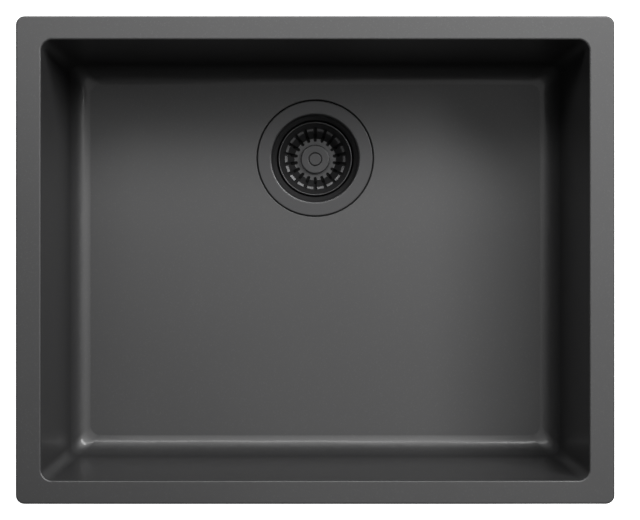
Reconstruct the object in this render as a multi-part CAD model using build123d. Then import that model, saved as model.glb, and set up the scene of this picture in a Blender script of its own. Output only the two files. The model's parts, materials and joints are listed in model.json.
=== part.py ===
from build123d import *
import math
import os

# A single-bowl kitchen sink moulded in stone composite, with a basket strainer waste in its floor.
# Millimetres. The origin is the centre of the rim's top face, +Z is up, +X is right and +Y is the
# back, where the waste is. Each piece of the waste is made about its own axis, with its zero at
# the top of the flange, and is then put in the floor.

# Rim and bowl
opening_length = 494.0
opening_width = 397.0
opening_corner_radius = 10.0
bowl_depth = 200.0
wall_draft_deg = 2.3
floor_radius = 19.0
wall_thickness = 8.0
floor_thickness = 9.0
rim_side_land = 23.0
rim_end_land = 21.5
rim_thickness = 10.0
rim_corner_radius = 8.0
rim_edge_radius = 1.5
rim_under_edge_radius = 1.0
rim_root_radius = 3.0
lip_radius = 1.8
floor_round_sections = 6

# Seat of the waste in the floor
drain_floor_margin = 14.5
recess_gap = 1.3
recess_edge_radius = 0.4
hole_clearance = 1.5
drain_boss_height = 2.0
drain_boss_land = 4.0
drain_boss_edge_radius = 1.0

# Strainer cup, pressed from sheet
flange_radius = 56.4
cup_sheet = 1.2
throat_radius = 42.3
throat_bend = 1.6
step_drop = 7.5
step_rise = 4.0
step_land = 4.4
step_bend = 2.0
seat_radius = 35.4
seat_drop = 36.5
seat_bend = 4.0
well_radius = 24.0
well_drop = 46.5
well_bend = 2.4
grid_hole_radius = 2.7
grid_hole_count = 12

# Gaskets
flange_gasket_thickness = 1.5
gasket_recess_clearance = 0.3
gasket_edge_setback = 1.5
gasket_bore_clearance = 0.6
under_gasket_thickness = 3.0

# Waste body, moulded
body_flange_radius = 60.0
body_flange_thickness = 3.5
body_wall = 2.6
body_bore_radius = 46.5
body_shoulder_drop = 47.0
funnel_drop = 71.0
body_bend = 9.0
outlet_radius = 23.9
outlet_bore_radius = 20.0
outlet_length = 22.0
outlet_chamfer = 1.2
outlet_collar_height = 3.0
outlet_collar_radius = 26.5
hub_radius = 13.5
hub_drop = 52.0
hub_web = 4.0
hub_arm_thickness = 3.0
hub_arm_count = 4
hub_arm_start_deg = 45.0
gusset_thickness = 2.4
gusset_depth = 11.0
gusset_count = 12

# Clamping bolt through the cup
nut_across_flats = 19.0
nut_thickness = 8.0
nut_clearance = 0.1
bolt_radius = 6.5
bolt_hole_clearance = 0.4
thread_clearance = 0.05
bolt_bore_radius = 5.0
bolt_head_radius = 9.5
bolt_head_height = 4.0
bolt_head_chamfer = 0.6
bolt_slot_width = 2.0
bolt_slot_depth = 1.4
bolt_end_overhang = 2.0
washer_radius = 11.5
washer_thickness = 1.5

# Basket, pressed from sheet
basket_sheet = 0.9
basket_radius = 36.4
basket_drop = 10.5
bead_radius = 0.8
shelf_outer_radius = 30.4
shelf_outer_drop = 19.6
shelf_inner_radius = 27.6
shelf_inner_drop = 20.2
basket_floor_radius = 20.9
basket_floor_drop = 29.6
basket_bend = 1.2
flute_count = 18
flute_start_deg = 90.0
flute_radius = 1.8
flute_top_radius = 30.0
flute_top_drop = 18.2
flute_foot_radius = 22.4
flute_foot_drop = 28.3
slot_width = 3.0
slot_inner_radius = 17.6
slot_outer_radius = 24.8

# Knob on the basket
knob_radius = 14.4
knob_height = 5.0
knob_grip_thickness = 2.6
knob_neck_radius = 9.5
knob_edge_radius = 1.2
knob_pocket_radius = 6.6
cap_radius = 6.0
cap_seat_drop = 1.2
cap_proud = 0.6
cap_edge_radius = 0.3
screw_radius = 2.5
screw_head_radius = 4.4
screw_head_height = 1.9
screw_fit = 0.1
screw_length = 16.0
screw_drive_width = 1.2
screw_drive_depth = 0.8

# Stopper and post under the basket
stopper_radius = 29.6
stopper_hub_radius = 17.5
stopper_thickness = 2.6
stopper_slope_drop = 2.2
stopper_lip_width = 3.0
stopper_seat_gap = 0.3
retainer_radius = 16.0
retainer_thickness = 1.5
retainer_rim_radius = 0.5
post_radius = 4.94
post_collar_radius = 8.0
post_collar_height = 2.0
post_length = 28.0
post_tip_chamfer = 1.5
post_groove_depth = 1.4
post_groove_clearance = 0.1
post_groove_share = 0.62
o_ring_bore_clearance = 0.08
tap_spare_depth = 2.0

# One overrun for all cuts
overrun = 5.0

# Places that follow from the sizes above
draft = math.radians(wall_draft_deg)
rim_length = opening_length + 2 * rim_side_land
rim_width = opening_width + 2 * rim_end_land
floor_corner_turn = floor_radius * math.tan((math.pi / 2 - draft) / 2)
floor_half_width = opening_width / 2 - bowl_depth * math.tan(draft) - floor_corner_turn
recess_radius = flange_radius + recess_gap
recess_depth = cup_sheet + flange_gasket_thickness
drain_y = floor_half_width - drain_floor_margin - recess_radius
drain_hole_radius = throat_radius + cup_sheet + hole_clearance
drain_boss_outer = body_flange_radius + drain_boss_land
underside_drop = floor_thickness + drain_boss_height
body_top_drop = underside_drop + under_gasket_thickness
bolt_hole_radius = bolt_radius + bolt_hole_clearance
hub_foot_drop = hub_drop + hub_web + nut_thickness
bolt_head_drop = well_drop - cup_sheet - washer_thickness - bolt_head_height
basket_top_drop = basket_floor_drop - basket_sheet / 2
basket_under_drop = basket_floor_drop + basket_sheet / 2
retainer_drop = basket_under_drop + stopper_thickness
collar_drop = retainer_drop + retainer_thickness
shaft_drop = collar_drop + post_collar_height
knob_top_drop = basket_top_drop - knob_height
screw_seat_drop = knob_top_drop + cap_seat_drop + screw_head_height


def circle_points(radius, count):
    """Points evenly spaced round a circle."""
    turns = [math.radians(index * 360 / count) for index in range(count)]
    return [(radius * math.cos(turn), radius * math.sin(turn)) for turn in turns]


def turned(outline):
    """A solid turned about the upright axis from a closed outline of radii and heights."""
    return revolve(Plane.XZ * make_face(outline), Axis.Z)


def pressed(points, bends, sheet):
    """Sheet metal turned about the upright axis, its middle line given by points and bends."""
    return revolve(Plane.XZ * trace(FilletPolyline(*points, radius=bends), sheet), Axis.Z)


def ring(outer_radius, inner_radius, top, bottom):
    """A flat ring between two heights."""
    height = top - bottom
    band = Circle(outer_radius) - Circle(inner_radius)
    return extrude(Pos(0, 0, bottom) * band, height)


def at_drain(shape):
    """Puts a piece of the waste at its place in the floor."""
    return Pos(0, drain_y, -bowl_depth) * shape


def level(length, width, corner_radius, depth):
    """The bowl's outline at one depth."""
    return Pos(0, 0, -depth) * RectangleRounded(length, width, corner_radius)


def bowl_form(length, width, corner_radius, depth, bottom_radius):
    """A drafted rectangular form with upright corners of one radius, rounded into its floor."""
    center_depth = depth - bottom_radius
    tangent_depth = center_depth + bottom_radius * math.sin(draft)
    inset = tangent_depth * math.tan(draft) + bottom_radius * math.cos(draft)
    walls = loft(
        [
            level(length, width, corner_radius, 0),
            level(
                length - 2 * tangent_depth * math.tan(draft),
                width - 2 * tangent_depth * math.tan(draft),
                corner_radius,
                tangent_depth,
            ),
        ],
        ruled=True,
    )
    sections = []
    for index in range(floor_round_sections + 1):
        turn = draft + (math.pi / 2 - draft) * index / floor_round_sections
        drawn_in = inset - bottom_radius * math.cos(turn)
        at_depth = center_depth + bottom_radius * math.sin(turn)
        sections.append(level(length - 2 * drawn_in, width - 2 * drawn_in, corner_radius, at_depth))
    return walls + loft(sections)


def edges_at(shape, height, wanted):
    """The edges that lie flat at one height and pass a test."""
    return [edge for edge in shape.edges().filter_by_position(Axis.Z, height, height) if wanted(edge)]


def reach(edge):
    """How far an edge goes from the middle, sideways and front to back."""
    box = edge.bounding_box()
    return max(abs(box.min.X), abs(box.max.X)), max(abs(box.min.Y), abs(box.max.Y))


def reaches_rim_edge(edge):
    """True for an edge of the rim's outline."""
    reach_x, reach_y = reach(edge)
    return reach_x > rim_length / 2 - rim_edge_radius / 2 or reach_y > rim_width / 2 - rim_edge_radius / 2


def inside_opening(edge):
    """True for an edge of the bowl's mouth."""
    reach_x, reach_y = reach(edge)
    return reach_x < opening_length / 2 + lip_radius and reach_y < opening_width / 2 + lip_radius


def inside_rim(edge):
    """True for an edge inside the rim's outline."""
    return not reaches_rim_edge(edge)


def is_circle(edge):
    """True for a round edge that closes on itself."""
    return edge.geom_type == GeomType.CIRCLE and edge.is_closed


def make_sink_bowl():
    """The moulded sink: rim, drafted bowl, and a recessed hole for the waste."""
    rim = extrude(RectangleRounded(rim_length, rim_width, rim_corner_radius), -rim_thickness)
    outside = bowl_form(
        opening_length + 2 * wall_thickness,
        opening_width + 2 * wall_thickness,
        opening_corner_radius + wall_thickness,
        bowl_depth + floor_thickness,
        floor_radius + wall_thickness,
    )
    sink = rim + outside
    sink = fillet(edges_at(sink, -rim_thickness, inside_rim), rim_root_radius)
    boss = extrude(Circle(drain_boss_outer), -underside_drop)
    boss = fillet(boss.edges().group_by(Axis.Z)[0], drain_boss_edge_radius)
    sink = sink + at_drain(boss)
    inside = bowl_form(opening_length, opening_width, opening_corner_radius, bowl_depth, floor_radius)
    sink = sink - inside
    sink = sink - at_drain(Pos(0, 0, -recess_depth) * extrude(Circle(recess_radius), recess_depth))
    sink = sink - at_drain(extrude(Circle(drain_hole_radius), -underside_drop - overrun))
    sink = fillet(edges_at(sink, -bowl_depth, is_circle), recess_edge_radius)
    sink = fillet(edges_at(sink, 0, reaches_rim_edge), rim_edge_radius)
    sink = fillet(edges_at(sink, -rim_thickness, reaches_rim_edge), rim_under_edge_radius)
    return fillet(edges_at(sink, 0, inside_opening), lip_radius)


def make_strainer_cup():
    """The pressed cup: flange, throat, stepped funnel, stopper seat and perforated well."""
    half = cup_sheet / 2
    points = [
        (flange_radius, -half),
        (throat_radius + half, -half),
        (throat_radius + half, -step_drop),
        (throat_radius + half - step_land, -step_drop - step_rise),
        (seat_radius + half, -seat_drop + half),
        (well_radius + half, -seat_drop + half),
        (well_radius + half, -well_drop + half),
        (bolt_hole_radius, -well_drop + half),
    ]
    bends = [throat_bend, step_bend, step_bend, seat_bend, well_bend, well_bend]
    cup = pressed(points, bends, cup_sheet)
    hole_circle = (washer_radius + well_radius - well_bend) / 2
    drill = extrude(Pos(0, 0, -well_drop - overrun) * Circle(grid_hole_radius), cup_sheet + 2 * overrun)
    for x, y in circle_points(hole_circle, grid_hole_count):
        cup = cup - Pos(x, y, 0) * drill
    return cup


def make_flange_gasket():
    """The soft ring that fills the floor's recess under the flange."""
    bore = drain_hole_radius + gasket_bore_clearance
    return ring(recess_radius - gasket_recess_clearance, bore, -cup_sheet, -recess_depth)


def make_under_gasket():
    """The thick ring between the sink's underside and the waste body."""
    bore = drain_hole_radius + gasket_bore_clearance
    return ring(body_flange_radius - gasket_edge_setback, bore, -underside_drop, -body_top_drop)


def make_waste_body():
    """The moulded body under the sink: flange, bowl, spider with its hub, and threaded outlet."""
    bore_points = [
        (0, -body_top_drop + overrun),
        (body_bore_radius, -body_top_drop + overrun),
        (body_bore_radius, -body_shoulder_drop),
        (outlet_bore_radius, -funnel_drop),
        (outlet_bore_radius, -funnel_drop - outlet_length - overrun),
        (0, -funnel_drop - outlet_length - overrun),
    ]
    outer_radius = body_bore_radius + body_wall
    outside_points = [
        (0, -body_top_drop),
        (outer_radius, -body_top_drop),
        (outer_radius, -body_shoulder_drop),
        (outlet_radius, -funnel_drop),
        (0, -funnel_drop),
    ]
    bore = turned(FilletPolyline(*bore_points, radius=[0, 0, body_bend, body_bend, 0, 0], close=True))
    shell_bends = [0, 0, body_bend + body_wall, 0, 0]
    shell = turned(FilletPolyline(*outside_points, radius=shell_bends, close=True))
    flange_foot = -body_top_drop - body_flange_thickness
    flange = ring(body_flange_radius, body_bore_radius, -body_top_drop, flange_foot)
    outlet_foot = -funnel_drop - outlet_length
    outlet = extrude(Pos(0, 0, outlet_foot) * Circle(outlet_radius), outlet_length)
    outlet = chamfer(outlet.edges().group_by(Axis.Z)[0], outlet_chamfer)
    collar_foot = -funnel_drop - outlet_collar_height
    collar = extrude(Pos(0, 0, collar_foot) * Circle(outlet_collar_radius), outlet_collar_height)
    gusset_outline = Polyline(
        (outer_radius - body_wall / 2, flange_foot + body_flange_thickness / 2),
        (body_flange_radius - body_wall / 2, flange_foot + body_flange_thickness / 2),
        (body_flange_radius - body_wall / 2, flange_foot),
        (outer_radius - body_wall / 2, flange_foot - gusset_depth),
        close=True,
    )
    gusset = extrude(Plane.XZ * make_face(gusset_outline), gusset_thickness / 2, both=True)
    body = shell + flange + outlet + collar
    for index in range(gusset_count):
        body = body + Rot(0, 0, index * 360 / gusset_count) * gusset
    body = body - bore
    hub_height = hub_foot_drop - hub_drop
    hub = extrude(Pos(0, 0, -hub_foot_drop) * Circle(hub_radius), hub_height)
    arm_outline = Pos(body_bore_radius / 2, 0) * Rectangle(body_bore_radius, hub_arm_thickness)
    arm = extrude(Pos(0, 0, -hub_foot_drop) * arm_outline, hub_height) & shell
    for index in range(hub_arm_count):
        body = body + Rot(0, 0, hub_arm_start_deg + index * 360 / hub_arm_count) * arm
    body = body + hub
    pocket = RegularPolygon(nut_across_flats / 2 + nut_clearance, 6, major_radius=False)
    body = body - extrude(Pos(0, 0, -hub_foot_drop - overrun) * pocket, nut_thickness + overrun)
    body = body - extrude(Pos(0, 0, -hub_foot_drop) * Circle(bolt_hole_radius), hub_height + overrun)
    return body


def make_clamp_nut():
    """The brass nut held in the hub."""
    hexagon = RegularPolygon(nut_across_flats / 2, 6, major_radius=False)
    blank = hexagon - Circle(bolt_radius + thread_clearance)
    return extrude(Pos(0, 0, -hub_foot_drop) * blank, nut_thickness)


def make_bolt_washer():
    """The flat ring under the bolt's head."""
    floor = -well_drop + cup_sheet
    return ring(washer_radius, bolt_hole_radius, floor + washer_thickness, floor)


def make_hollow_bolt():
    """The slotted bolt that clamps the waste and whose bore takes the basket's post."""
    foot = -hub_foot_drop - bolt_end_overhang
    head_foot = -bolt_head_drop - bolt_head_height
    shank = extrude(Pos(0, 0, foot) * Circle(bolt_radius), head_foot - foot)
    head = extrude(Pos(0, 0, head_foot) * Circle(bolt_head_radius), bolt_head_height)
    head = chamfer(head.edges().group_by(Axis.Z)[-1], bolt_head_chamfer)
    bolt = shank + head
    slot = Pos(0, 0, -bolt_head_drop) * Box(2 * washer_radius, bolt_slot_width, 2 * bolt_slot_depth)
    bore = extrude(Pos(0, 0, foot - overrun) * Circle(bolt_bore_radius), overrun - foot)
    return bolt - slot - bore


def flute(radius):
    """One round-ended groove along the basket's lower wall."""
    top = Vector(flute_top_radius, 0, -flute_top_drop)
    foot = Vector(flute_foot_radius, 0, -flute_foot_drop)
    run = foot - top
    barrel = extrude(Plane(origin=top, z_dir=run) * Circle(radius), run.length)
    return barrel + Pos(*top) * Sphere(radius) + Pos(*foot) * Sphere(radius)


def make_basket():
    """The pressed basket: rolled rim, sloping wall, narrow shelf, and slotted flutes to the floor."""
    top_radius = basket_radius - bead_radius
    points = [
        (top_radius, -basket_drop - bead_radius),
        (shelf_outer_radius, -shelf_outer_drop),
        (shelf_inner_radius, -shelf_inner_drop),
        (basket_floor_radius, -basket_floor_drop),
        (screw_radius + screw_fit, -basket_floor_drop),
    ]
    basket = pressed(points, [basket_bend] * 3, basket_sheet)
    bead = Pos(0, 0, -basket_drop - bead_radius) * Torus(top_radius, bead_radius)
    basket = basket + bead
    hollow_points = [(0, -basket_drop), (top_radius, -basket_drop)] + points[:4]
    hollow_points = hollow_points + [(0, -basket_floor_drop)]
    hollow_bends = [0, 0, 0, basket_bend, basket_bend, basket_bend, 0]
    hollow = turned(FilletPolyline(*hollow_points, radius=hollow_bends, close=True))
    outer_flute = flute(flute_radius + basket_sheet) - hollow
    band = ring(basket_radius, slot_inner_radius / 2, -basket_drop, -basket_under_drop)
    outer_flute = outer_flute & band
    inner_flute = flute(flute_radius)
    slot_length = slot_outer_radius - slot_inner_radius
    slot_center = (slot_outer_radius + slot_inner_radius) / 2
    slot_foot = -basket_under_drop - overrun
    slot_outline = Pos(slot_center, 0, slot_foot) * SlotOverall(slot_length, slot_width)
    slot = extrude(slot_outline, -shelf_inner_drop - slot_foot)
    for index in range(flute_count):
        turn = Rot(0, 0, flute_start_deg + index * 360 / flute_count)
        basket = basket + turn * outer_flute
        basket = basket - turn * inner_flute
        basket = basket - turn * slot
    return basket


def make_knob():
    """The low mushroom knob, with a pocket for its screw and cap."""
    top = -knob_top_drop
    foot = -basket_top_drop
    neck = extrude(Pos(0, 0, foot) * Circle(knob_neck_radius), knob_height)
    grip = extrude(Pos(0, 0, top - knob_grip_thickness) * Circle(knob_radius), knob_grip_thickness)
    grip = fillet(grip.edges().filter_by(GeomType.CIRCLE), knob_edge_radius)
    knob = neck + grip
    cap_seat = top - cap_seat_drop
    cap_pocket = extrude(Pos(0, 0, cap_seat) * Circle(knob_pocket_radius), cap_seat_drop + overrun)
    head_outline = Circle(screw_head_radius + screw_fit)
    head_pocket = extrude(Pos(0, 0, -screw_seat_drop) * head_outline, screw_head_height + overrun)
    bore = extrude(Pos(0, 0, foot - overrun) * Circle(screw_radius + screw_fit), knob_height + overrun)
    return knob - cap_pocket - head_pocket - bore


def make_knob_cap():
    """The raised button that covers the knob's screw."""
    height = cap_seat_drop + cap_proud
    cap = extrude(Pos(0, 0, -knob_top_drop - cap_seat_drop) * Circle(cap_radius), height)
    return fillet(cap.edges().group_by(Axis.Z)[-1], cap_edge_radius)


def make_knob_screw():
    """The screw that holds knob, basket and stopper on the post."""
    shank = extrude(Pos(0, 0, -screw_seat_drop - screw_length) * Circle(screw_radius), screw_length)
    head = extrude(Pos(0, 0, -screw_seat_drop) * Circle(screw_head_radius), screw_head_height)
    drive = Box(2 * screw_head_radius, screw_drive_width, 2 * screw_drive_depth)
    return shank + head - Pos(0, 0, -screw_seat_drop + screw_head_height) * drive


def make_stopper():
    """The rubber stopper: flat hub under the basket, sloping skirt and a lip over the seat."""
    lip_foot = -seat_drop + cup_sheet + stopper_seat_gap
    skirt_top = -basket_under_drop - stopper_slope_drop
    skirt_under = -retainer_drop - stopper_slope_drop / 2
    outline = Polyline(
        (post_radius + screw_fit, -basket_under_drop),
        (stopper_hub_radius, -basket_under_drop),
        (stopper_radius - stopper_lip_width / 2, skirt_top),
        (stopper_radius, skirt_top - stopper_lip_width / 4),
        (stopper_radius, lip_foot),
        (stopper_radius - stopper_lip_width, lip_foot),
        (stopper_radius - stopper_lip_width, skirt_under),
        (stopper_hub_radius, -retainer_drop),
        (post_radius + screw_fit, -retainer_drop),
        close=True,
    )
    return turned(outline)


def make_retainer():
    """The stiff disc that backs the stopper."""
    disc = ring(retainer_radius, post_radius + screw_fit, -retainer_drop, -collar_drop)
    outer = disc.edges().filter_by(GeomType.CIRCLE).group_by(SortBy.RADIUS)[-1]
    return fillet(outer, retainer_rim_radius)


def groove_drop():
    """Depth of the o-ring's middle below the flange."""
    return shaft_drop + post_length * post_groove_share


def make_post():
    """The turned post: spigot, collar, shaft with an o-ring groove, and a tapped end."""
    spigot = extrude(Pos(0, 0, -collar_drop) * Circle(post_radius), collar_drop - basket_under_drop)
    collar = extrude(Pos(0, 0, -shaft_drop) * Circle(post_collar_radius), post_collar_height)
    shaft = extrude(Pos(0, 0, -shaft_drop - post_length) * Circle(post_radius), post_length)
    shaft = chamfer(shaft.edges().group_by(Axis.Z)[0], post_tip_chamfer)
    post = spigot + collar + shaft
    groove_half = (post_groove_depth + post_groove_clearance) / 2
    groove = ring(
        post_radius + overrun,
        post_radius - post_groove_depth,
        -groove_drop() + groove_half,
        -groove_drop() - groove_half,
    )
    post = post - groove
    tap_foot = screw_seat_drop + screw_length + tap_spare_depth
    tap_height = tap_foot - basket_under_drop + overrun
    tap = extrude(Pos(0, 0, -tap_foot) * Circle(screw_radius + thread_clearance), tap_height)
    return post - tap


def make_post_o_ring():
    """The o-ring that grips the bolt's bore."""
    outer = bolt_bore_radius - o_ring_bore_clearance
    inner = post_radius - post_groove_depth + post_groove_clearance / 2
    section = (outer - inner) / 2
    return Pos(0, 0, -groove_drop()) * Torus(inner + section, section)


pieces = {
    "sink_bowl": make_sink_bowl(),
    "strainer_cup": at_drain(make_strainer_cup()),
    "flange_gasket": at_drain(make_flange_gasket()),
    "under_gasket": at_drain(make_under_gasket()),
    "waste_body": at_drain(make_waste_body()),
    "clamp_nut": at_drain(make_clamp_nut()),
    "bolt_washer": at_drain(make_bolt_washer()),
    "hollow_bolt": at_drain(make_hollow_bolt()),
    "basket": at_drain(make_basket()),
    "knob": at_drain(make_knob()),
    "knob_cap": at_drain(make_knob_cap()),
    "knob_screw": at_drain(make_knob_screw()),
    "stopper": at_drain(make_stopper()),
    "stopper_retainer": at_drain(make_retainer()),
    "plug_post": at_drain(make_post()),
    "post_o_ring": at_drain(make_post_o_ring()),
}

os.makedirs("parts", exist_ok=True)
for name, piece in pieces.items():
    export_step(piece, f"parts/{name}.step")
outlet_foot_drop = bowl_depth + funnel_drop + outlet_length
print("waste axis at y =", round(drain_y, 3), "outlet foot at z =", -outlet_foot_drop)
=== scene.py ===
# %% [markdown]
# # A stone-composite kitchen sink with its basket strainer waste
# The solids of the sink, its waste and the basket plug are loaded as a fixed frame. This lesson
# gives them their finishes, sets a camera straight above the bowl and lights it like a catalogue
# picture: long soft lights from behind, a dim one overhead, and a white floor.

import json
import math

import bmesh
import bpy
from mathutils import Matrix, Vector


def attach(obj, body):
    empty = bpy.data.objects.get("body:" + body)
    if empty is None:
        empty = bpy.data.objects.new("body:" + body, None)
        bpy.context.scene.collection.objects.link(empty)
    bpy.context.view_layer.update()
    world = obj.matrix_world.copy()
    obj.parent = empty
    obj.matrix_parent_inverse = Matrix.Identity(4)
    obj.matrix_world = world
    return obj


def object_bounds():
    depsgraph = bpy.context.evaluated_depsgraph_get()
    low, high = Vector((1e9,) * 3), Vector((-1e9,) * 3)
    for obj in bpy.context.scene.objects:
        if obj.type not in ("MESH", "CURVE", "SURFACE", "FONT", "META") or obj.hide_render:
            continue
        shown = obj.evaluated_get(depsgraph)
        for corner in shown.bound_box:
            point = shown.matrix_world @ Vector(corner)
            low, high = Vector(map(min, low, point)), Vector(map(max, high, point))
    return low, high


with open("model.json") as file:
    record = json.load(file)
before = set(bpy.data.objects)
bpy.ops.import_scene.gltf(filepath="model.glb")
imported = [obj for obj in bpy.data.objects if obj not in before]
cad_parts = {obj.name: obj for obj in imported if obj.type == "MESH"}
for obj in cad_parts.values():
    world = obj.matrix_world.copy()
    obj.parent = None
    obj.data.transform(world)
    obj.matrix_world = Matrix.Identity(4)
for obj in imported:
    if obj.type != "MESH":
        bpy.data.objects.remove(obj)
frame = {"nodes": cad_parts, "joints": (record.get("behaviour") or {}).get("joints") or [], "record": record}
cad_low, cad_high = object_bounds()

# %% [markdown]
# ## Camera
# The picture was taken from straight above, from far away, so the walls show only a little. The
# distance comes from how much smaller the floor looks than the rim. The sink's middle lies a few
# pixels left of the picture's middle, which is a small sideways shift of the lens.

# %% Camera straight above the rim
RIM_SCALE = 1109.8           # pixels per metre at the rim's height
PICTURE_WIDTH = 640          # pixels
MIDDLE_PIXEL = 315.2         # where the sink's middle lies across the picture
CAMERA_HEIGHT = 2.213        # metres above the rim
SENSOR_WIDTH = 36.0          # millimetres
FARTHEST_SEEN = 50.0         # metres

camera_data = bpy.data.cameras.new("overhead_camera")
camera_data.sensor_width = SENSOR_WIDTH
camera_data.lens = RIM_SCALE * CAMERA_HEIGHT * SENSOR_WIDTH / PICTURE_WIDTH
camera_data.shift_x = (PICTURE_WIDTH / 2 - MIDDLE_PIXEL) / PICTURE_WIDTH
camera_data.clip_end = FARTHEST_SEEN
camera = bpy.data.objects.new("overhead_camera", camera_data)
camera.location = (0, 0, CAMERA_HEIGHT)
bpy.context.scene.collection.objects.link(camera)
bpy.context.scene.camera = camera
bpy.context.scene.view_settings.view_transform = "Standard"
print("lens", round(camera_data.lens, 1), "mm")

# %% [markdown]
# ## Light
# The right back of the rim is the brightest part and the left front the darkest. The back wall
# throws a shadow on the floor with an edge that is only a little soft. A long narrow strip gives
# that: its light is even along the rim and its shadow stays narrow. So the main light is a strip
# that hangs behind the sink and to its right. A dimmer strip goes on from it to the left, and a
# dim softbox overhead keeps the walls readable.

# %% Softboxes
SOFTBOX_HEIGHT = 1.7         # metres above the rim
AIM_DEPTH = 0.1              # metres below the rim, about the middle of the bowl
SOFTBOXES = [
    # name, sideways, to the back, width, length, power in watts
    ("key", 0.90, 0.95, 1.4, 0.3, 70.0),
    ("left_fill", -0.35, 0.95, 1.1, 0.3, 18.0),
    ("top_fill", 0.10, 0.06, 1.5, 0.8, 5.9),
]


def softbox(name, sideways, back, width, length, power):
    """A flat light that looks at the middle of the bowl and doesn't show itself."""
    data = bpy.data.lights.new(name, "AREA")
    data.shape = "RECTANGLE"
    data.size = width
    data.size_y = length
    data.energy = power
    light = bpy.data.objects.new(name, data)
    light.location = (sideways, back, SOFTBOX_HEIGHT)
    way = Vector((sideways, back, SOFTBOX_HEIGHT + AIM_DEPTH))
    light.rotation_euler = way.to_track_quat("Z", "Y").to_euler()
    light.visible_camera = False
    bpy.context.scene.collection.objects.link(light)
    return light


lights = [softbox(*row) for row in SOFTBOXES]
print("lights:", [light.name for light in lights])

# %% [markdown]
# ## Sky and backdrop
# Past the floor the camera should see white paper, but light from that paper would wash out the
# black bowl. A light path node tells the two uses of the sky apart: rays from the camera meet the
# paper, and every other ray meets a sky that is almost black.

# %% Sky and backdrop
DIM_SKY = 0.02
PAPER_WHITE = 1.05           # a little over white, so that no horizon shows
WHITE = (1, 1, 1, 1)

world = bpy.data.worlds.new("studio_room")
world.use_nodes = True
room = world.node_tree
sky = room.nodes["Background"]
paper = room.nodes.new("ShaderNodeBackground")
for glow, strength in ((sky, DIM_SKY), (paper, PAPER_WHITE)):
    glow.inputs["Color"].default_value = WHITE
    glow.inputs["Strength"].default_value = strength
ray = room.nodes.new("ShaderNodeLightPath")
either = room.nodes.new("ShaderNodeMixShader")
room.links.new(ray.outputs["Is Camera Ray"], either.inputs["Fac"])
room.links.new(sky.outputs["Background"], either.inputs[1])
room.links.new(paper.outputs["Background"], either.inputs[2])
room.links.new(either.outputs["Shader"], room.nodes["World Output"].inputs["Surface"])
bpy.context.scene.world = world
print("sky", DIM_SKY, "and paper", PAPER_WHITE)

# %% [markdown]
# ## Floor
# A plain white floor lies just below the outlet. It glows as brightly as the paper behind it, so
# the two can't be told apart, and it brightens the outside of the bowl from below.

# %% Floor
MM = 0.001                   # the scene is in metres
FLOOR_GAP = 2 * MM
FLOOR_HALF_WIDTH = 12.0      # metres
FLOOR_PAINT = (0.9, 0.9, 0.9, 1)
FLOOR_ROUGHNESS = 0.9


def make_floor_paint():
    """White paint that glows."""
    paint = bpy.data.materials.new("white_floor")
    paint.use_nodes = True
    shader = paint.node_tree.nodes["Principled BSDF"]
    shader.inputs["Base Color"].default_value = FLOOR_PAINT
    shader.inputs["Roughness"].default_value = FLOOR_ROUGHNESS
    shader.inputs["Emission Color"].default_value = WHITE
    shader.inputs["Emission Strength"].default_value = PAPER_WHITE
    return paint


def make_floor(height):
    """A large square at one height."""
    mesh = bmesh.new()
    bmesh.ops.create_grid(mesh, x_segments=1, y_segments=1, size=FLOOR_HALF_WIDTH)
    bmesh.ops.translate(mesh, verts=mesh.verts, vec=(0, 0, height))
    data = bpy.data.meshes.new("white_floor")
    mesh.to_mesh(data)
    mesh.free()
    data.materials.append(make_floor_paint())
    floor = bpy.data.objects.new("white_floor", data)
    bpy.context.scene.collection.objects.link(floor)
    return floor


white_floor = make_floor(cad_low.z - FLOOR_GAP)
print("floor at", round(cad_low.z - FLOOR_GAP, 4))

# %% [markdown]
# ## Shared effects
# Several finishes share the same small effects. Each effect is built once, as a node group with
# named inputs, and every finish then places it with its own values.

# %% Node group helper
def new_group(name, inputs, outputs):
    """An empty shader node group with named sockets, and its two end nodes."""
    group = bpy.data.node_groups.new(name, "ShaderNodeTree")
    for label, start in inputs:
        socket = group.interface.new_socket(
            name=label, in_out="INPUT", socket_type="NodeSocketFloat"
        )
        socket.default_value = start
    for label, kind in outputs:
        group.interface.new_socket(name=label, in_out="OUTPUT", socket_type=kind)
    return group, group.nodes.new("NodeGroupInput"), group.nodes.new("NodeGroupOutput")


print("group helper ready")

# %% [markdown]
# Cast stone, sprayed steel and moulded plastic all have a fine grain, and none has quite the same
# tone everywhere. One fine noise gives the grain as a height, and one broad noise gives slow
# patches as a mask. Both follow the piece's own coordinates, so they stay put when it moves.

# %% Fine grain
def make_fine_grain():
    """Fine grain as a height, and slow patches as a mask."""
    group, start, end = new_group(
        "fine_grain",
        [("Scale", 900.0), ("Patch Scale", 14.0)],
        [("Height", "NodeSocketFloat"), ("Patches", "NodeSocketFloat")],
    )
    place = group.nodes.new("ShaderNodeTexCoord")
    grain = group.nodes.new("ShaderNodeTexNoise")
    grain.inputs["Detail"].default_value = 3.0
    grain.inputs["Roughness"].default_value = 0.6
    patches = group.nodes.new("ShaderNodeTexNoise")
    patches.inputs["Detail"].default_value = 4.0
    group.links.new(place.outputs["Object"], grain.inputs["Vector"])
    group.links.new(place.outputs["Object"], patches.inputs["Vector"])
    group.links.new(start.outputs["Scale"], grain.inputs["Scale"])
    group.links.new(start.outputs["Patch Scale"], patches.inputs["Scale"])
    group.links.new(grain.outputs["Fac"], end.inputs["Height"])
    group.links.new(patches.outputs["Fac"], end.inputs["Patches"])
    return group


fine_grain = make_fine_grain()
print("group:", fine_grain.name)

# %% [markdown]
# No real edge is perfectly sharp. The solids keep their edges, so a bevel node rounds only the
# shading. Where the rounded normal leaves the true one there must be an edge, so how much the two
# differ also makes a mask, along which a finish can be lighter.

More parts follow.
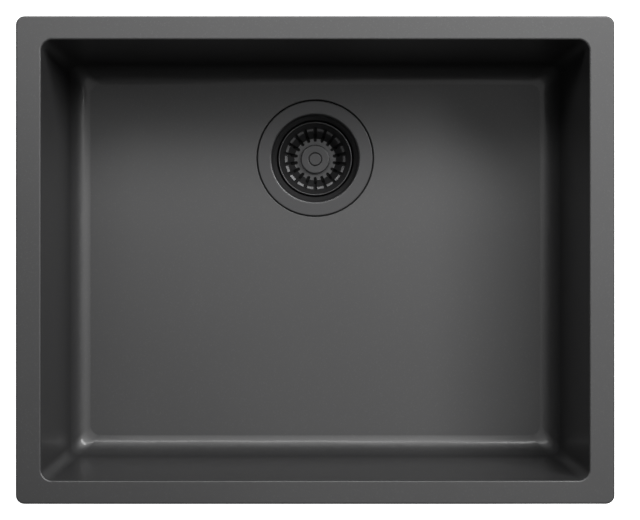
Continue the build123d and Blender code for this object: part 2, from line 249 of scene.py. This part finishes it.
# %% Soft edges
BEVEL_SAMPLES = 6
STILL_FLAT = 0.98            # likeness of the two normals where an edge begins to show
FULL_EDGE = 0.80             # likeness where the mask is white


def make_soft_edges():
    """A normal that is rounded at the edges, and a mask that is white along them."""
    group, start, end = new_group(
        "soft_edges",
        [("Radius", 0.4 * MM)],
        [("Normal", "NodeSocketVector"), ("Edge", "NodeSocketFloat")],
    )
    rounding = group.nodes.new("ShaderNodeBevel")
    rounding.samples = BEVEL_SAMPLES
    shape = group.nodes.new("ShaderNodeNewGeometry")
    likeness = group.nodes.new("ShaderNodeVectorMath")
    likeness.operation = "DOT_PRODUCT"
    edge = group.nodes.new("ShaderNodeMapRange")
    edge.inputs["From Min"].default_value = STILL_FLAT
    edge.inputs["From Max"].default_value = FULL_EDGE
    group.links.new(start.outputs["Radius"], rounding.inputs["Radius"])
    group.links.new(rounding.outputs["Normal"], likeness.inputs[0])
    group.links.new(shape.outputs["Normal"], likeness.inputs[1])
    group.links.new(likeness.outputs["Value"], edge.inputs["Value"])
    group.links.new(rounding.outputs["Normal"], end.inputs["Normal"])
    group.links.new(edge.outputs["Result"], end.inputs["Edge"])
    return group


soft_edges = make_soft_edges()
print("group:", soft_edges.name)

# %% [markdown]
# A lathe leaves fine rings round the axis of what it turns. Every turned piece here lies on the
# axis of the waste, round which the plug turns, so the rings are centred on the plug's joint.

# %% Turned rings
plug_turn = next(joint for joint in frame["joints"] if joint["name"] == "plug_turn")
WASTE_Y = plug_turn["pos_m"][1]      # metres behind the sink's middle


def make_turned_rings():
    """Rings round the axis of the waste, as a height."""
    group, start, end = new_group(
        "turned_rings", [("Scale", 500.0)], [("Height", "NodeSocketFloat")]
    )
    place = group.nodes.new("ShaderNodeTexCoord")
    center = group.nodes.new("ShaderNodeMapping")
    center.inputs["Location"].default_value = (0, -WASTE_Y, 0)
    rings = group.nodes.new("ShaderNodeTexWave")
    rings.wave_type = "RINGS"
    rings.rings_direction = "Z"
    rings.inputs["Distortion"].default_value = 0.6
    rings.inputs["Detail"].default_value = 1.0
    group.links.new(place.outputs["Object"], center.inputs["Vector"])
    group.links.new(center.outputs["Vector"], rings.inputs["Vector"])
    group.links.new(start.outputs["Scale"], rings.inputs["Scale"])
    group.links.new(rings.outputs["Fac"], end.inputs["Height"])
    return group


turned_rings = make_turned_rings()
print("group:", turned_rings.name, "round y =", round(WASTE_Y, 4))

# %% [markdown]
# ## Finishes
# A real surface is never one colour. In each finish the tone drifts in slow patches, the edges are
# a little lighter where hands and cloths rub, and the gloss follows the grain. The grain then goes
# into a bump on top of the rounded edges.

# %% Finish helpers
GLOSS_SWING = 0.04           # how far the roughness follows the grain, either way
BUMP_STRENGTH = 0.5


def group_node(paint, group, **values):
    """Places a shared effect in a finish, with its own values."""
    node = paint.node_tree.nodes.new("ShaderNodeGroup")
    node.node_tree = group
    for label, value in values.items():
        node.inputs[label.replace("_", " ")].default_value = value
    return node


def mixed(paint, factor, first, second):
    """A colour between two colours. Each is a colour or an output."""
    mix = paint.node_tree.nodes.new("ShaderNodeMix")
    mix.data_type = "RGBA"
    paint.node_tree.links.new(factor, mix.inputs["Factor"])
    for label, color in (("A", first), ("B", second)):
        if isinstance(color, tuple):
            mix.inputs[label].default_value = (*color, 1)
        else:
            paint.node_tree.links.new(color, mix.inputs[label])
    return mix.outputs["Result"]


def add_bump(paint, height, depth, under):
    """A bump of one height over another normal, as the shader's new normal."""
    links = paint.node_tree.links
    bump = paint.node_tree.nodes.new("ShaderNodeBump")
    bump.inputs["Strength"].default_value = BUMP_STRENGTH
    bump.inputs["Distance"].default_value = depth
    links.new(height, bump.inputs["Height"])
    links.new(under, bump.inputs["Normal"])
    links.new(bump.outputs["Normal"], paint.node_tree.nodes["Principled BSDF"].inputs["Normal"])


print("finish helpers ready")

# %% [markdown]
# Painted, cast and turned surfaces differ here only in a few numbers. So one function builds every
# finish from the shared effects, and each material below is a short list of its own values.

# %% One finish from the shared effects
def finish(name, dark, light, worn, roughness, grain_scale, depth, edge_radius):
    """A finish with drifting colour, lighter edges and a fine grain, and its shader."""
    paint = bpy.data.materials.new(name)
    paint.use_nodes = True
    links = paint.node_tree.links
    shader = paint.node_tree.nodes["Principled BSDF"]
    grain = group_node(paint, fine_grain, Scale=grain_scale)
    edges = group_node(paint, soft_edges, Radius=edge_radius)
    drift = mixed(paint, grain.outputs["Patches"], dark, light)
    links.new(mixed(paint, edges.outputs["Edge"], drift, worn), shader.inputs["Base Color"])
    gloss = paint.node_tree.nodes.new("ShaderNodeMapRange")
    gloss.inputs["To Min"].default_value = roughness - GLOSS_SWING
    gloss.inputs["To Max"].default_value = roughness + GLOSS_SWING
    links.new(grain.outputs["Height"], gloss.inputs["Value"])
    links.new(gloss.outputs["Result"], shader.inputs["Roughness"])
    add_bump(paint, grain.outputs["Height"], depth, edges.outputs["Normal"])
    return paint, shader


print("finish ready")

# %% [markdown]
# The sink is a composite of fine mineral grains in a black resin: nearly black, matt, with a thin
# smoother skin of resin that gives the rounded floor its crisp highlight. The skin is a weak coat
# on the shader. A few grains are paler, so tiny cells are made and a few of them are picked.

# %% Stone composite
GRAINS_A_METRE = 1100.0
FIRST_PICKED = 0.90          # the random tone from which a cell starts to show
FULLY_PICKED = 0.96          # and from which it shows fully
PALE_GRAIN = (0.055, 0.055, 0.056)
PALEST_GRAIN_SHARE = 0.22    # how much of the pale tone a picked grain takes on
SKIN_WEIGHT = 0.15
SKIN_ROUGHNESS = 0.15


def add_pale_grains(paint, shader):
    """Mixes a few paler grains into the colour of a finish."""
    nodes = paint.node_tree.nodes
    links = paint.node_tree.links
    place = nodes.new("ShaderNodeTexCoord")
    grains = nodes.new("ShaderNodeTexVoronoi")
    grains.inputs["Scale"].default_value = GRAINS_A_METRE
    tone = nodes.new("ShaderNodeSeparateColor")
    picked = nodes.new("ShaderNodeMapRange")
    picked.inputs["From Min"].default_value = FIRST_PICKED
    picked.inputs["From Max"].default_value = FULLY_PICKED
    picked.inputs["To Max"].default_value = PALEST_GRAIN_SHARE
    links.new(place.outputs["Object"], grains.inputs["Vector"])
    links.new(grains.outputs["Color"], tone.inputs["Color"])
    links.new(tone.outputs["Red"], picked.inputs["Value"])
    ground = shader.inputs["Base Color"].links[0].from_socket
    speckled = mixed(paint, picked.outputs["Result"], ground, PALE_GRAIN)
    links.new(speckled, shader.inputs["Base Color"])


def make_stone():
    """The black composite with its paler grains and its thin skin."""
    paint, shader = finish(
        "stone_composite",
        dark=(0.0185, 0.0185, 0.0190),
        light=(0.0215, 0.0215, 0.0220),
        worn=(0.030, 0.030, 0.031),
        roughness=0.50,
        grain_scale=1400,
        depth=0.05 * MM,
        edge_radius=0.6 * MM,
    )
    add_pale_grains(paint, shader)
    shader.inputs["Coat Weight"].default_value = SKIN_WEIGHT
    shader.inputs["Coat Roughness"].default_value = SKIN_ROUGHNESS
    return paint


stone_composite = make_stone()
print("made", stone_composite.name)

# %% [markdown]
# What shows of the waste from above is pressed steel with a satin black coat. The coat hides part
# of the metal, so the finish is only partly metallic. The cup, the knob and its cap have rolled
# edges that are wider than the basket's. They get a twin of the finish with a larger edge radius.

# %% Coated steel
def coated_steel(name, edge_radius):
    """Steel under a satin black coat."""
    paint, shader = finish(
        name,
        dark=(0.037, 0.037, 0.038),
        light=(0.042, 0.042, 0.043),
        worn=(0.047, 0.047, 0.048),
        roughness=0.38,
        grain_scale=2500,
        depth=0.02 * MM,
        edge_radius=edge_radius,
    )
    shader.inputs["Metallic"].default_value = 0.6
    return paint


black_steel = coated_steel("black_steel", edge_radius=0.4 * MM)
rolled_steel = coated_steel("rolled_steel", edge_radius=1.4 * MM)
print("made", black_steel.name, "and", rolled_steel.name)

# %% [markdown]
# Rubber and moulded plastic are no metals and hardly shine. The rubber is the darker of the two
# and reflects less. Its colour is painted darker than black rubber is, as painted shade, so that
# the gasket makes the black line of shade in the seam round the flange.

# %% Rubber and plastic
# painted shade: these rubber colours are darker than real black rubber, to darken the seam round the flange
soft_rubber, rubber_shader = finish(
    "soft_rubber",
    dark=(0.003, 0.003, 0.003),
    light=(0.005, 0.005, 0.005),
    worn=(0.007, 0.007, 0.007),
    roughness=0.75,
    grain_scale=900,
    depth=0.1 * MM,
    edge_radius=0.3 * MM,
)
rubber_shader.inputs["Specular IOR Level"].default_value = 0.1
black_plastic, _ = finish(
    "black_plastic",
    dark=(0.026, 0.026, 0.027),
    light=(0.032, 0.032, 0.033),
    worn=(0.045, 0.045, 0.046),
    roughness=0.48,
    grain_scale=1500,
    depth=0.06 * MM,
    edge_radius=0.5 * MM,
)
print("made", soft_rubber.name, "and", black_plastic.name)

# %% [markdown]
# The nut is plain brass. The bolt, its washer, the knob's screw and the post are plain steel. All
# five come off a lathe, so one helper makes them full metals and lays rings over their grain.

# %% Turned metals
def turned_metal(name, dark, light, worn, roughness, depth, rings_a_metre, ring_depth):
    """A bare metal with the rings of a lathe over its grain."""
    paint, shader = finish(
        name,
        dark=dark,
        light=light,
        worn=worn,
        roughness=roughness,
        grain_scale=1200,
        depth=depth,
        edge_radius=0.3 * MM,
    )
    shader.inputs["Metallic"].default_value = 1.0
    grained = shader.inputs["Normal"].links[0].from_socket
    rings = group_node(paint, turned_rings, Scale=rings_a_metre)
    add_bump(paint, rings.outputs["Height"], ring_depth, grained)
    return paint


plain_brass = turned_metal(
    "plain_brass",
    dark=(0.64, 0.47, 0.22),
    light=(0.74, 0.57, 0.28),
    worn=(0.82, 0.66, 0.36),
    roughness=0.32,
    depth=0.008 * MM,
    rings_a_metre=600.0,
    ring_depth=0.02 * MM,
)
plain_steel = turned_metal(
    "plain_steel",
    dark=(0.46, 0.46, 0.45),
    light=(0.56, 0.56, 0.55),
    worn=(0.66, 0.66, 0.65),
    roughness=0.28,
    depth=0.006 * MM,
    rings_a_metre=700.0,
    ring_depth=0.01 * MM,
)
print("made", plain_brass.name, "and", plain_steel.name)

# %% [markdown]
# The frame's record says what each solid is made of, so one loop dresses them all. Only the three
# pieces with rolled edges are named here. The shapes stay as they are.

# %% Put the finishes on the pieces
FINISHES = {
    "stone_composite": stone_composite,
    "black_steel": black_steel,
    "soft_rubber": soft_rubber,
    "black_plastic": black_plastic,
    "plain_brass": plain_brass,
    "plain_steel": plain_steel,
}
ROLLED_PIECES = {"strainer_cup", "knob", "knob_cap"}

for row in frame["record"]["subparts"]:
    node = frame["nodes"][row["node"]]
    rolled = row["node"] in ROLLED_PIECES
    node.data.materials.clear()
    node.data.materials.append(rolled_steel if rolled else FINISHES[row["material_slot"]])

# %% [markdown]
# ## Thread of the outlet
# The trap screws onto the outlet, and its thread is too fine for the solids. A thread is one ridge
# that climbs round the pipe, so its section comes first: flat at the top, as a moulded thread is,
# and with its root inside the pipe, so that no gap shows between the two.

# %% Section of the thread
PIPE_RADIUS = 23.9 * MM
THREAD_PITCH = 2.31 * MM
THREAD_HEIGHT = 1.1 * MM
THREAD_ROOT = 0.3 * MM       # how deep the ridge starts inside the pipe
THREAD_START = 2.2 * MM      # above the foot of the outlet
HALF_ROOT = 0.42 * THREAD_PITCH
HALF_CREST = 0.12 * THREAD_PITCH


def thread_section(mesh):
    """The flat-topped section of the ridge, as a face that stands on the pipe."""
    inner = PIPE_RADIUS - THREAD_ROOT
    outer = PIPE_RADIUS + THREAD_HEIGHT
    middle = cad_low.z + THREAD_START
    corners = [(inner, -HALF_ROOT), (outer, -HALF_CREST), (outer, HALF_CREST), (inner, HALF_ROOT)]
    return mesh.faces.new([
        mesh.verts.new((radius, WASTE_Y, middle + rise)) for radius, rise in corners
    ])


print("ridge", round(2 * HALF_ROOT / MM, 2), "mm wide and", round(THREAD_HEIGHT / MM, 2), "mm high")

# %% [markdown]
# A spin turns the section round the axis of the waste and raises it a little at each step, which
# makes the whole screw at once, as one closed body. A moulded thread doesn't end in a step, so both
# ends are then drawn into the pipe.

# %% Outlet thread
THREAD_TURNS = 7
STEPS_A_TURN = 72
STEPS = THREAD_TURNS * STEPS_A_TURN
RUN_OUT = STEPS_A_TURN // 3  # steps over which an end is drawn in


def draw_in_ends(mesh):
    """Lowers the ridge to just under the pipe's surface towards both of its ends."""
    lowest = PIPE_RADIUS - THREAD_ROOT / 2
    for corner in mesh.verts:
        across, along = corner.co.x, corner.co.y - WASTE_Y
        radius = math.hypot(across, along)
        climb = corner.co.z - cad_low.z - THREAD_START
        step = climb / THREAD_PITCH * STEPS_A_TURN
        left = min(step, STEPS - step)
        if radius < PIPE_RADIUS or left >= RUN_OUT:
            continue
        lowered = lowest + (radius - lowest) * max(left, 0) / RUN_OUT
        corner.co.x = across * lowered / radius
        corner.co.y = WASTE_Y + along * lowered / radius


def make_outlet_thread():
    """The ridge of the thread, as one closed body."""
    mesh = bmesh.new()
    bmesh.ops.spin(
        mesh,
        geom=[thread_section(mesh)],
        cent=(0, WASTE_Y, 0),
        axis=(0, 0, 1),
        dvec=(0, 0, THREAD_PITCH / STEPS_A_TURN),
        angle=2 * math.pi * THREAD_TURNS,
        steps=STEPS,
        use_duplicate=False,
    )
    draw_in_ends(mesh)
    bmesh.ops.recalc_face_normals(mesh, faces=mesh.faces)
    open_edges = sum(not edge.is_manifold for edge in mesh.edges)
    data = bpy.data.meshes.new("outlet_thread")
    mesh.to_mesh(data)
    mesh.free()
    data.materials.append(black_plastic)
    thread = bpy.data.objects.new("outlet_thread", data)
    bpy.context.scene.collection.objects.link(thread)
    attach(thread, "sink")
    print("thread faces:", len(data.polygons), "open edges:", open_edges)


make_outlet_thread()

# %% [markdown]
# ## Sizes
# The last cell prints how large the solids are.

# %% Sizes and the last line
print("cad box", [round(side, 4) for side in cad_high - cad_low])
